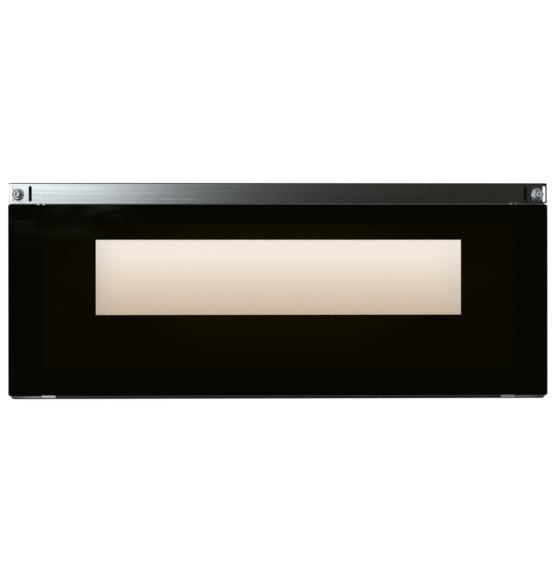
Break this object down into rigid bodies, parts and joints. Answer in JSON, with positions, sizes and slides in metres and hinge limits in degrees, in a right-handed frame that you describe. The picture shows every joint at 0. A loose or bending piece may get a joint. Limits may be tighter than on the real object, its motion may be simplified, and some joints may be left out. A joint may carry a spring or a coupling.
{
  "type": "oven door glass",
  "caption": "Outer glass panel of a range's upper oven door: black-printed toughened glass with a clear window, bonded to a folded steel frame with a handle strip and studs.",
  "frame": {"origin": "below the middle of the panel, on the plane that its frame rests on", "axes": "+X along the panel's width, to the right as seen from the front; +Y up the door to the handle strip; +Z out of the front face"},
  "size_m": [0.75, 0.301, 0.032],
  "materials": {
    "printed_glass": "polished, with black print fired on the back around a clear window",
    "brushed_stainless": "brushed along its length",
    "black_coated_steel": "black coat, semi-matte",
    "zinc_coated_steel": "dull zinc coat",
    "black_adhesive": "matte cured silicone",
    "turned_steel": "turned and plated"
  },
  "bodies": {
    "root": {"glass_panel": "printed_glass", "top_rail": "brushed_stainless", "bottom_rail": "black_coated_steel", "corner_bracket_left": "zinc_coated_steel", "corner_bracket_right": "zinc_coated_steel", "side_rail_left": "zinc_coated_steel", "side_rail_right": "zinc_coated_steel", "adhesive_top": "black_adhesive", "adhesive_bottom": "black_adhesive", "adhesive_left": "black_adhesive", "adhesive_right": "black_adhesive", "handle_stud_left": "turned_steel", "handle_stud_right": "turned_steel", "stud_nut_left": "turned_steel", "stud_nut_right": "turned_steel"}
  },
  "joints": []
}
